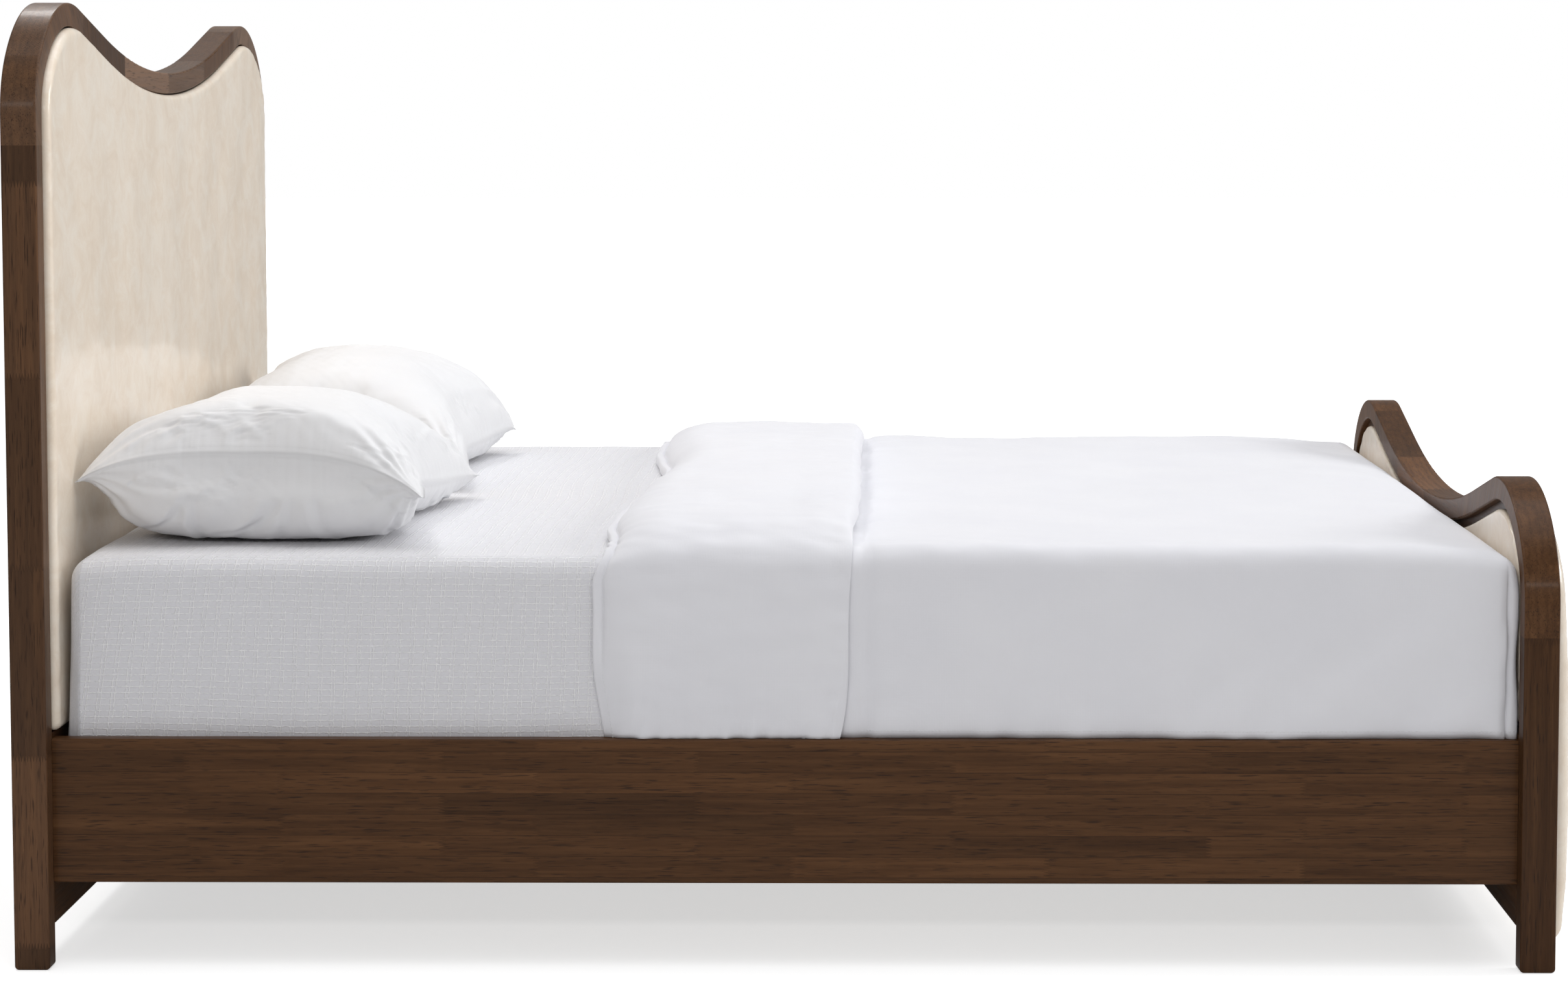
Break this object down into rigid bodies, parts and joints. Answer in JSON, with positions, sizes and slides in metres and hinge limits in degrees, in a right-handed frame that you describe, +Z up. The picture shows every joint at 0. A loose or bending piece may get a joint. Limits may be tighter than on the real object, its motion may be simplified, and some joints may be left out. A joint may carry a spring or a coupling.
{
  "type": "eared upholstered bed",
  "caption": "Double bed with an eared, dipping headboard and footboard, padded leather panels, side rails on hooks, slats, mattress, coverlet, duvet and pillows.",
  "frame": {"origin": "on the floor, under the middle of the bed's bounding box", "axes": "+X from the headboard to the footboard, +Z up, +Y to the right as seen from the foot of the bed"},
  "size_m": [2.191, 1.64, 1.3621],
  "materials": {
    "rim_walnut": "satin",
    "rail_walnut": "satin",
    "stained_board": "matte",
    "pale_wood": "matte",
    "dowel_wood": "matte",
    "cream_leather": "satin",
    "foam": "matte",
    "plated_steel": "satin",
    "screw_steel": "satin",
    "black_plastic": "matte",
    "mattress_ticking": "matte",
    "waffle_cotton": "matte",
    "duvet_cotton": "matte",
    "pillow_cotton": "matte"
  },
  "bodies": {
    "bed_frame": {"beam_hangers": "plated_steel", "bracket_screws": "screw_steel", "center_beam": "pale_wood", "center_leg_foot": "pale_wood", "center_leg_head": "pale_wood", "center_leg_middle": "pale_wood", "footboard_battens": "pale_wood", "footboard_crest": "rim_walnut", "footboard_dowels": "dowel_wood", "footboard_ear_left": "rim_walnut", "footboard_ear_right": "rim_walnut", "footboard_inner_board": "stained_board", "footboard_inner_cover": "cream_leather", "footboard_inner_foam": "foam", "footboard_lower_rail": "rail_walnut", "footboard_outer_board": "stained_board", "footboard_outer_cover": "cream_leather", "footboard_outer_foam": "foam", "footboard_post_left": "rim_walnut", "footboard_post_right": "rim_walnut", "footboard_shoulder_left": "rim_walnut", "footboard_shoulder_right": "rim_walnut", "headboard_back_panel": "stained_board", "headboard_battens": "pale_wood", "headboard_core_board": "stained_board", "headboard_cover": "cream_leather", "headboard_crest": "rim_walnut", "headboard_dowels": "dowel_wood", "headboard_ear_left": "rim_walnut", "headboard_ear_right": "rim_walnut", "headboard_foam": "foam", "headboard_lower_rail": "rail_walnut", "headboard_post_left": "rim_walnut", "headboard_post_right": "rim_walnut", "headboard_shoulder_left": "rim_walnut", "headboard_shoulder_right": "rim_walnut", "ledge_screws": "screw_steel", "leg_studs": "screw_steel", "leg_thread_inserts": "screw_steel", "rail_hook_plates": "plated_steel", "rail_receiver_plates": "plated_steel", "side_rail_left": "rail_walnut", "side_rail_right": "rail_walnut", "slat_ledge_left": "pale_wood", "slat_ledge_right": "pale_wood", "slat_screws": "screw_steel", "slats_foot_end": "pale_wood", "slats_head_end": "pale_wood"},
    "mattress": {"mattress": "mattress_ticking", "coverlet": "waffle_cotton"},
    "duvet": {"duvet": "duvet_cotton"},
    "pillow_left": {"pillow_left": "pillow_cotton"},
    "pillow_right": {"pillow_right": "pillow_cotton"},
    "leveling_foot_head": {"leveling_foot_head": "black_plastic"},
    "leveling_foot_middle": {"leveling_foot_middle": "black_plastic"},
    "leveling_foot_foot": {"leveling_foot_foot": "black_plastic"}
  },
  "joints": [
    {"name": "mattress_lift", "type": "slide", "parent": "bed_frame", "child": "mattress", "axis": [0, 0, 1], "range_m": [0, 0.5]},
    {"name": "duvet_lift", "type": "slide", "parent": "mattress", "child": "duvet", "axis": [0, 0, 1], "range_m": [0, 0.4]},
    {"name": "pillow_left_lift", "type": "slide", "parent": "mattress", "child": "pillow_left", "axis": [0, 0, 1], "range_m": [0, 0.35]},
    {"name": "pillow_right_lift", "type": "slide", "parent": "mattress", "child": "pillow_right", "axis": [0, 0, 1], "range_m": [0, 0.35]},
    {"name": "leveling_head", "type": "slide", "parent": "bed_frame", "child": "leveling_foot_head", "axis": [0, 0, 1], "range_m": [0, 0.012]},
    {"name": "leveling_middle", "type": "slide", "parent": "bed_frame", "child": "leveling_foot_middle", "axis": [0, 0, 1], "range_m": [0, 0.012]},
    {"name": "leveling_foot", "type": "slide", "parent": "bed_frame", "child": "leveling_foot_foot", "axis": [0, 0, 1], "range_m": [0, 0.012]}
  ]
}
